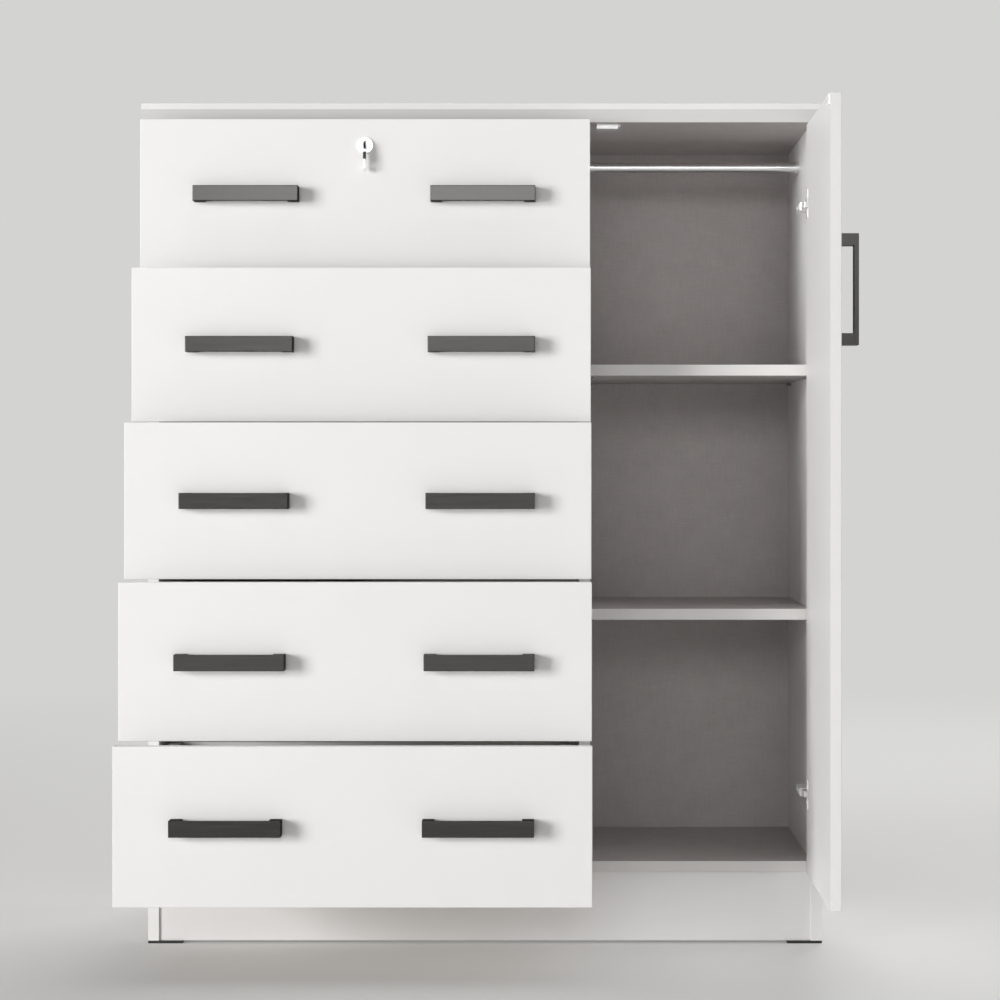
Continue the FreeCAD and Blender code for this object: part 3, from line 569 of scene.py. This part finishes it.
RUNNER_SCREWS = (30 * MM, 135 * MM, 300 * MM)  # from the inner channel's front end
RUNNER_SCREW_HEAD = (3.6 * MM, 1.8 * MM)
WEB_INSIDE = 8.3 * MM  # from the flanges' ends to the web that the screws go through
ZINC_BLOOM = 11.1 * MM
# The lever and its thumb pad: distance from the channel's front end; length, width, corner, thickness
LEVER_PLATES = (
    (205 * MM, (36 * MM, 8 * MM, 3.5 * MM, 1.6 * MM)),
    (214 * MM, (9 * MM, 6 * MM, 2.9 * MM, 3.52 * MM)),
)


def blackened_zinc():
    material, place = start_material("blackened_zinc")
    bloom = add_node(material, "TexNoise", {"Vector": place, "Scale": 1 / ZINC_BLOOM, "Detail": 3.0})
    tones = {6: linear("#161617"), 7: linear("#2A2A2E")}
    tone = add_node(material, "Mix", {"data_type": "RGBA", 0: bloom, **tones}), 2
    return finish_material(material, {"Base Color": tone, "Metallic": 0.7, "Roughness": 0.36})


BLACKENED_ZINC = blackened_zinc()
dress(["slide_outer_rails"], BLACKENED_ZINC)
for number in DRAWERS:
    dress([f"drawer_{number}_inner_rails", f"drawer_{number}_middle_rails"], BLACKENED_ZINC)


def add_rounded_plate(shape, wide, high, corner, thick, place, hole=0.0):
    """A plate with rounded corners and perhaps a round hole, lying in XY before it is placed.

    A circle's four quarters are moved apart to make the outline.
    """
    turn = Matrix.Rotation(math.radians(3.75), 4, "Z")
    first = len(shape.verts)
    outline = bmesh.ops.create_circle(
        shape, cap_ends=not hole, segments=48, radius=corner, matrix=turn
    )["verts"]
    for vertex in outline:
        vertex.co.x += math.copysign(wide / 2 - corner, vertex.co.x)
        vertex.co.y += math.copysign(high / 2 - corner, vertex.co.y)
    if hole:
        rim = bmesh.ops.create_circle(shape, cap_ends=False, segments=48, radius=hole, matrix=turn)
        bmesh.ops.bridge_loops(shape, edges=touching(outline + rim["verts"], "link_edges"))
    shape.verts.ensure_lookup_table()
    flat = touching(shape.verts[first:], "link_faces")
    raised = only_vertices(bmesh.ops.extrude_face_region(shape, geom=flat)["geom"])
    bmesh.ops.translate(shape, verts=raised, vec=(0, 0, thick))
    shape.verts.ensure_lookup_table()
    bmesh.ops.transform(shape, matrix=place, verts=shape.verts[first:])


def runner_fittings(drawer):
    low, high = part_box(f"{drawer}_inner_rails")
    middle = (low.z + high.z) / 2
    levers = bmesh.new()
    for web, way, hand in ((low.x + WEB_INSIDE, -1, "left"), (high.x - WEB_INSIDE, 1, "right")):
        spots = [(web, low.y + along, middle) for along in RUNNER_SCREWS]
        screws(f"{drawer}_runner_screws_{hand}", drawer, spots, (way, 0, 0), RUNNER_SCREW_HEAD)
        turn = Matrix.Rotation(math.radians(90 * way), 4, "Y") @ Matrix.Rotation(math.radians(90), 4, "Z")
        for along, plate in LEVER_PLATES:
            place = Matrix.Translation((web, low.y + along, middle)) @ turn
            add_rounded_plate(levers, *plate, place)
    piece(f"{drawer}_levers", levers, BLACK_PLASTIC, drawer)


for number in DRAWERS:
    runner_fittings(f"drawer_{number}")

# ---- Hinges ----
# Cups, links and arms are drawn and pressed steel, tumbled and nickel-plated, slightly warm, with a
# satin shine that is duller on the cups. Their very pale, barely metallic colour is partly a painted
# highlight, standing in for the glare off the plating. Countersunk screws hold the cups, pan heads
# the plates. The lock's cam has the same plating.

CUP_HALF = 21.5 * MM  # half the length of a cup's flange
PLATE_STEEL = 2.5 * MM
PLATE_FROM_FRONT = 39 * MM  # carcass front to the middle of the mounting plate
TUMBLE_MARK = 2 * MM  # marks are 0.2 mm across, drawn coarser so that they show
UP, BACK = Vector((0, 0, 1)), Vector((0, 1, 0))
# A pair of screws: which way they lie apart, how far each is from the middle, and their heads
CUP_SCREWS = (UP, 17.2 * MM, (3.2 * MM, 0.25 * MM))
PLATE_SCREWS = (UP, 11.4 * MM, (3.9 * MM, 1.8 * MM))
ARM_SCREWS = (BACK, 10 * MM, (3.0 * MM, 0.8 * MM))
CATCH_PLATE_SCREWS = (BACK, 10.5 * MM, (2.6 * MM, 0.2 * MM))


def nickel_with_painted_highlight(name, metallic):
    material, place = start_material(name)
    marks = add_node(material, "TexNoise", {"Vector": place, "Scale": 1 / TUMBLE_MARK, "Detail": 3.0})
    relief = add_node(material, "Bump", {"Height": marks, "Strength": 0.1, "Distance": 0.05 * MM})
    # The near-white, only partly metallic base is in part a painted highlight for the plating's glare.
    surface = {"Base Color": linear("#FDFCFA"), "Metallic": metallic, "Roughness": 0.28}
    return finish_material(material, {"Normal": relief, **surface})


SATIN_NICKEL, PALE_NICKEL_PAINTED_HIGHLIGHT = nickel_with_painted_highlight("nickel_with_painted_highlight", 0.35), nickel_with_painted_highlight("pale_nickel_painted_highlight", 0.1)
dress(["hinge_arms", "hinge_links", "lock_cam"], SATIN_NICKEL)
dress(["hinge_cups", "catch_plate"], PALE_NICKEL_PAINTED_HIGHLIGHT)


def screw_pairs(name, body, middles, pair):
    """Pairs of screws in faces that look to the left."""
    apart, distance, head = pair
    spots = [Vector(middle) + apart * distance * way for middle in middles for way in (-1, 1)]
    screws(name, body, spots, (-1, 0, 0), head)


def hinge_screws():
    low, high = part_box("hinge_cups")
    heights, cup_y = (low.z + CUP_HALF, high.z - CUP_HALF), (low.y + high.y) / 2
    screw_pairs("cup_screws", "door", [(low.x, cup_y, z) for z in heights], CUP_SCREWS)
    low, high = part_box("hinge_arms")
    y, plate_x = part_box("side_right")[0].y + PLATE_FROM_FRONT, high.x - PLATE_STEEL
    screw_pairs("plate_screws", "carcass", [(plate_x, y, z) for z in heights], PLATE_SCREWS)
    screw_pairs("arm_screws", "carcass", [(low.x, y, z) for z in heights], ARM_SCREWS)
    middle = middle_of("catch_plate")
    middle.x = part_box("catch_plate")[0].x
    screw_pairs("catch_plate_screws", "door", [middle], CATCH_PLATE_SCREWS)


hinge_screws()

# ---- Bar pulls ----
# Die-cast zinc, brushed lengthwise and plated a near-black graphite: a dull metal sheen drawn out in
# fine streaks. Each is held by two screws through the front, whose heads show inside the drawer.

PULL_LENGTH, FOOT_MIDDLE = 150 * MM, 8 * MM
PULL_SCREW_HEAD = (4.3 * MM, 2.4 * MM)
BRUSH_LINE, BRUSH_RUN = 1.2 * MM, 60 * MM  # marks are 0.1 mm wide, drawn coarser so that they show


def graphite_plate(name, along):
    """Brushed graphite plating whose marks run along an axis, 0 for X and 2 for Z."""
    material, place = start_material(name)
    size = [BRUSH_LINE] * 3
    size[along] = BRUSH_RUN
    marks = drawn_streaks(material, place, size, 3.0)
    tones = {6: linear("#393837"), 7: linear("#545352")}
    surface = {
        "Base Color": (add_node(material, "Mix", {"data_type": "RGBA", 0: marks, **tones}), 2),
        "Metallic": 1.0,
        "Specular Tint": linear("#3C3C3C"),
        "Roughness": add_node(material, "MapRange", {"Value": marks, "To Min": 0.18, "To Max": 0.3}),
        "Normal": add_node(material, "Bump", {"Height": marks, "Strength": 0.12, "Distance": 0.05 * MM}),
    }
    return finish_material(material, surface)


dress([f"drawer_{number}_handles" for number in DRAWERS], graphite_plate("graphite_lengthwise", 0))
dress(["door_handle"], graphite_plate("graphite_upright", 2))

for number in DRAWERS:
    low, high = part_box(f"drawer_{number}_handles")
    ends = (low.x, low.x + PULL_LENGTH, high.x - PULL_LENGTH, high.x)
    feet = [x + FOOT_MIDDLE * way for x, way in zip(ends, (1, -1, 1, -1))]
    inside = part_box(f"drawer_{number}_front")[1].y
    spots = [(x, inside, (low.z + high.z) / 2) for x in feet]
    screws(f"drawer_{number}_pull_screws", f"drawer_{number}", spots, (0, 1, 0), PULL_SCREW_HEAD)

# ---- Key ----
# A folding key that hangs from the lock: nickelled steel grip with a ring hole, its near-white
# partly a painted highlight, a black moulded shoulder, a chromed ferrule, and a black forked head
# round the pin. Two black leaves behind the lock's face, above and below the blade, are painted
# shade: they darken the keyway, whose chrome walls would otherwise shine.

# Ends and faces lie so far down from the pin, or along X from the key's middle plane.
KEY_HEAD = 4.2 * MM  # radius of the head round the pin
KEY_CHEEK, CHEEK_CORNER = (1.0 * MM, 1.6 * MM), 4.1 * MM  # a cheek's two faces
KEY_FORK_END, FERRULE = 3.7 * MM, (6.9 * MM, 10.3 * MM)
FERRULE_HALF, FERRULE_CHAMFER = 1.9 * MM, 0.3 * MM
NECK_SHARE, NECK_LAP = 0.9, 2 * MM  # of the head's width; reach into the shoulder
PIN_RADIUS, PIN_PROUD = 1.0 * MM, 0.15 * MM
SHOULDER_END, SHOULDER_WIDE, SHOULDER_CORNER, SHOULDER_THICK = 21.6 * MM, 12 * MM, 2.4 * MM, 3.6 * MM
KEY_HOLE, KEY_HOLE_RADIUS = 28.5 * MM, 3.5 * MM
GRIP_WIDE, GRIP_CORNER, GRIP_THICK, GRIP_LAP = 11.6 * MM, 3 * MM, 3.0 * MM, 0.6 * MM
KEY_CHAMFER = 0.2 * MM
SHADE_LEAF = (2.3 * MM, 1.0 * MM, 1.8 * MM)  # one black leaf of painted shade in the keyway, along X, Y and Z
SHADE_LEAF_RISE, SHADE_LEAF_INSIDE, SHADE_LEAF_CHAMFER = 5.5 * MM, 0.3 * MM, 0.1 * MM

dress(["key_blade"], BLACKENED_ZINC)


def key_point():
    """The pin that the bow hangs from."""
    middle = middle_of("key_bow")
    return Vector((middle.x, middle.y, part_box("key_bow")[1].z - KEY_HEAD))


def across(centre, x):
    """Places a plate that lies in XY upright at a distance from the key's middle plane."""
    turn = Matrix.Rotation(math.radians(90), 4, "Z") @ Matrix.Rotation(math.radians(90), 4, "X")
    return Matrix.Translation(centre + Vector((x, 0, 0))) @ turn


def key_grip():
    pin, end = key_point(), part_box("key_bow")[0].z
    middle = Vector((pin.x, pin.y, pin.z - KEY_HOLE))
    high = 2 * (middle.z - end)
    place = across(middle, -GRIP_THICK / 2)
    shape = bmesh.new()
    add_rounded_plate(shape, GRIP_WIDE, high, GRIP_CORNER, GRIP_THICK, place, KEY_HOLE_RADIUS)
    joint = middle.z + high / 2 - GRIP_CORNER - KEY_CHAMFER
    start = (pin.x - GRIP_THICK / 2, pin.y - GRIP_WIDE / 2, joint)
    end = (pin.x + GRIP_THICK / 2, pin.y + GRIP_WIDE / 2, pin.z - SHOULDER_END + GRIP_LAP)
    add_block(shape, start, end, KEY_CHAMFER)
    piece("key_grip", shape, PALE_NICKEL_PAINTED_HIGHLIGHT, "key_bow")


def key_shoulder():
    """The shoulder with its fork, in the place of the CAD bow."""
    pin = key_point()
    high = SHOULDER_END - FERRULE[1]
    middle = Vector((pin.x, pin.y, pin.z - (SHOULDER_END + FERRULE[1]) / 2))
    place = across(middle, -SHOULDER_THICK / 2)
    shape = bmesh.new()
    add_rounded_plate(shape, SHOULDER_WIDE, high, SHOULDER_CORNER, SHOULDER_THICK, place)
    length = FERRULE[0] + KEY_HEAD
    centre = Vector((pin.x, pin.y, pin.z + KEY_HEAD - length / 2))
    for x0, x1 in ((-KEY_CHEEK[1], -KEY_CHEEK[0]), KEY_CHEEK):
        add_rounded_plate(shape, 2 * KEY_HEAD, length, CHEEK_CORNER, x1 - x0, across(centre, x0))
    neck, half = KEY_CHEEK[1], NECK_SHARE * KEY_HEAD
    start = (pin.x - neck, pin.y - half, pin.z - FERRULE[1] - NECK_LAP)
    add_block(shape, start, (pin.x + neck, pin.y + half, pin.z - KEY_FORK_END), KEY_CHAMFER)
    made = piece("key_shoulder", shape, BLACK_PLASTIC, "key_bow")
    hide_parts("key_bow")


def key_ferrule():
    """The ferrule, and the ends of the pin on the fork's cheeks."""
    pin = key_point()
    shape = bmesh.new()
    start = (pin.x - FERRULE_HALF, pin.y - KEY_HEAD, pin.z - FERRULE[1])
    end = (pin.x + FERRULE_HALF, pin.y + KEY_HEAD, pin.z - FERRULE[0])
    add_block(shape, start, end, FERRULE_CHAMFER)
    bmesh.ops.create_cone(
        shape,
        cap_ends=True,
        segments=20,
        radius1=PIN_RADIUS,
        radius2=PIN_RADIUS,
        depth=2 * (KEY_CHEEK[1] + PIN_PROUD),
        matrix=Matrix.Translation(pin) @ Matrix.Rotation(math.radians(90), 4, "Y"),
    )
    piece("key_ferrule", shape, BRIGHT_CHROME, "key_bow")


# Black leaves of painted shade in the keyway, above and below the blade.
def keyway_painted_shade():
    pin, face = key_point(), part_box("lock_plug")[0].y + SHADE_LEAF_INSIDE
    wide, deep, high = SHADE_LEAF
    shape = bmesh.new()
    for way in (-1, 1):
        z = pin.z + SHADE_LEAF_RISE * way
        start = (pin.x - wide / 2, face, z - high / 2)
        add_block(shape, start, (pin.x + wide / 2, face + deep, z + high / 2), SHADE_LEAF_CHAMFER)
    piece("keyway_painted_shade", shape, BLACK_PLASTIC, "lock_plug")


key_grip()
key_shoulder()
key_ferrule()
keyway_painted_shade()

# ---- Studio ----
# A pale floor that fades into the pale surround. The key is a large distant softbox from the left,
# like a window. A small one over the camera gives the metal its highlights, one overhead and one
# low in front lift the floor and what faces down, and the last two open up the right and the back.

LOOK_AT = Vector((0.05, -0.25, 0.62))
SURROUND = "#D3D3D1"
FLOOR_RADIUS = 60.0
FLOOR_FADE = (0.6, 5.0)  # distances between which the floor fades into the surround
FLOOR_GLOW = 0.3  # share of the surround in the floor beside the object
# Degrees to the right of the front and above level, metres away, width, height and radiance
LAMPS = {
    "key": (-49, 6, 9.0, 3.4, 3.4, 18.5),
    "front": (-3, 12.5, 5.3, 2.2, 0.9, 5.4),
    "overhead": (0, 88, 4.5, 4.0, 4.0, 0.9),
    "low": (2, -7, 3.1, 3.0, 0.4, 0.9),
    "right": (105, 9, 6.0, 3.0, 3.0, 5.5),
    "rear": (165, 30, 6.0, 3.5, 2.5, 5.5),
}


def seen_directly(owner):
    """1 for rays from the camera and rays mirrored by a surface, otherwise 0."""
    path = add_node(owner, "LightPath", {})
    seen = {0: (path, "Is Camera Ray"), 1: (path, "Is Glossy Ray")}
    return add_node(owner, "Math", {"operation": "MAXIMUM", **seen})


def pale_floor():
    material, place = start_material("pale_floor")
    away = add_node(material, "VectorMath", {"operation": "LENGTH", 0: place}), "Value"
    near, far = FLOOR_FADE
    fading = {"From Min": near, "From Max": far, "To Min": FLOOR_GLOW, "interpolation_type": "SMOOTHSTEP"}
    fade = add_node(material, "MapRange", {"Value": away, **fading})
    shares = {0: fade, 1: seen_directly(material)}
    glow_share = add_node(material, "Math", {"operation": "MULTIPLY", **shares})
    matt = add_node(material, "BsdfPrincipled", {"Base Color": linear("#EBEAE8"), "Roughness": 0.75})
    glow = add_node(material, "Emission", {"Color": linear(SURROUND), "Strength": 1.0})
    mixed = add_node(material, "MixShader", {0: glow_share, 1: matt, 2: glow})
    add_node(material, "OutputMaterial", {"Surface": mixed})
    return material


def floor():
    shape = bmesh.new()
    bmesh.ops.create_circle(shape, cap_ends=True, segments=96, radius=FLOOR_RADIUS)
    mesh = to_mesh("floor", shape)
    mesh.materials.append(pale_floor())
    made = bpy.data.objects.new("floor", mesh)
    bpy.context.scene.collection.objects.link(made)


def softbox(name, azimuth, elevation, distance, wide, high, radiance):
    """A rectangular lamp that looks at the object."""
    a, e = math.radians(azimuth), math.radians(elevation)
    away = Vector((math.sin(a) * math.cos(e), -math.cos(a) * math.cos(e), math.sin(e)))
    lamp = bpy.data.lights.new(name, "AREA")
    lamp.shape = "RECTANGLE"
    lamp.size, lamp.size_y = wide, high
    lamp.energy = radiance * wide * high * math.pi
    made = bpy.data.objects.new(name, lamp)
    made.location = LOOK_AT + away * distance
    made.rotation_euler = away.to_track_quat("Z", "Y").to_euler()
    made.visible_camera = False
    bpy.context.scene.collection.objects.link(made)


def world():
    made = bpy.data.worlds.new("studio")
    made.use_nodes = True
    made.node_tree.nodes.clear()
    ambient = add_node(made, "Background", {"Color": linear("#FFFFFF"), "Strength": 0.01})
    surround = add_node(made, "Background", {"Color": linear(SURROUND), "Strength": 1.0})
    mixed = add_node(made, "MixShader", {0: seen_directly(made), 1: ambient, 2: surround})
    add_node(made, "OutputWorld", {"Surface": mixed})
    bpy.context.scene.world = made


def camera():
    lens = bpy.data.cameras.new("camera")
    lens.lens = 95.69
    lens.sensor_width = 36.0
    lens.shift_x = -0.0559
    lens.shift_y = -0.027
    made = bpy.data.objects.new("camera", lens)
    made.location = (0.1038, -4.080, 0.6884)
    made.rotation_euler = (math.radians(90), 0, 0)
    bpy.context.scene.collection.objects.link(made)
    bpy.context.scene.camera = made


floor()
for name, lamp in LAMPS.items():
    softbox(name, *lamp)
world()
camera()
bpy.context.scene.view_settings.view_transform = "Standard"
